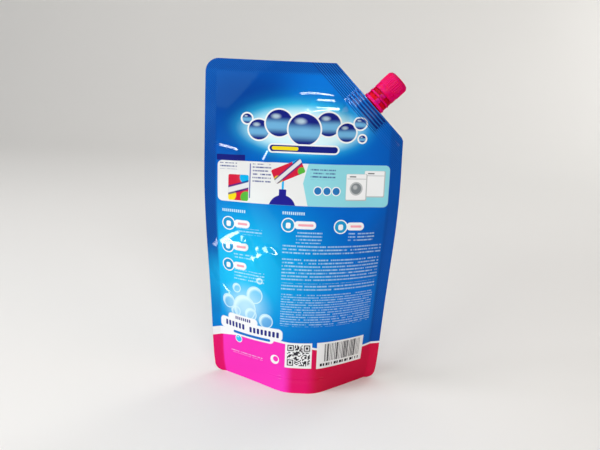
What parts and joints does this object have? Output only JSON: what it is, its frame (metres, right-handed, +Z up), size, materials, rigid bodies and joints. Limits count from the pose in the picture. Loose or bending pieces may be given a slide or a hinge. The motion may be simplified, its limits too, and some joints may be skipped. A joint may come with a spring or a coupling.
{
  "type": "stand-up spout pouch",
  "caption": "Filled film stand-up refill pouch with an opened bottom gusset, a slanted top corner, a welded corner pouring spout and a ribbed screw cap over a tamper band.",
  "frame": {"origin": "on the table under the middle of the pouch", "axes": "+Z up, +X across the pouch towards the spout, the printed front faces -Y"},
  "size_m": [0.15, 0.0676, 0.25],
  "materials": {
    "film": "glossy printed laminate film",
    "spout_plastic": "moulded polyethylene, semi-gloss",
    "cap_plastic": "moulded polypropylene, semi-gloss"
  },
  "bodies": {
    "pack": {"pouch": "film", "spout": "spout_plastic"},
    "band": {"tamper_band": "cap_plastic"},
    "screw_cap": {"cap": "cap_plastic"}
  },
  "joints": [
    {"name": "cap_turn", "type": "hinge", "parent": "pack", "child": "band", "pos_m": [0.05002, 0.00578, 0.22047], "axis": [0.7088, 0.1226, 0.6947], "range_deg": [0, 540]},
    {"name": "cap_lift", "type": "slide", "parent": "band", "child": "screw_cap", "axis": [0.7088, 0.1226, 0.6947], "range_m": [0, 0.0045]}
  ],
  "couplings": [
    {"joint": "cap_lift", "follows": "cap_turn", "m_per_rad": 0.00047746}
  ]
}
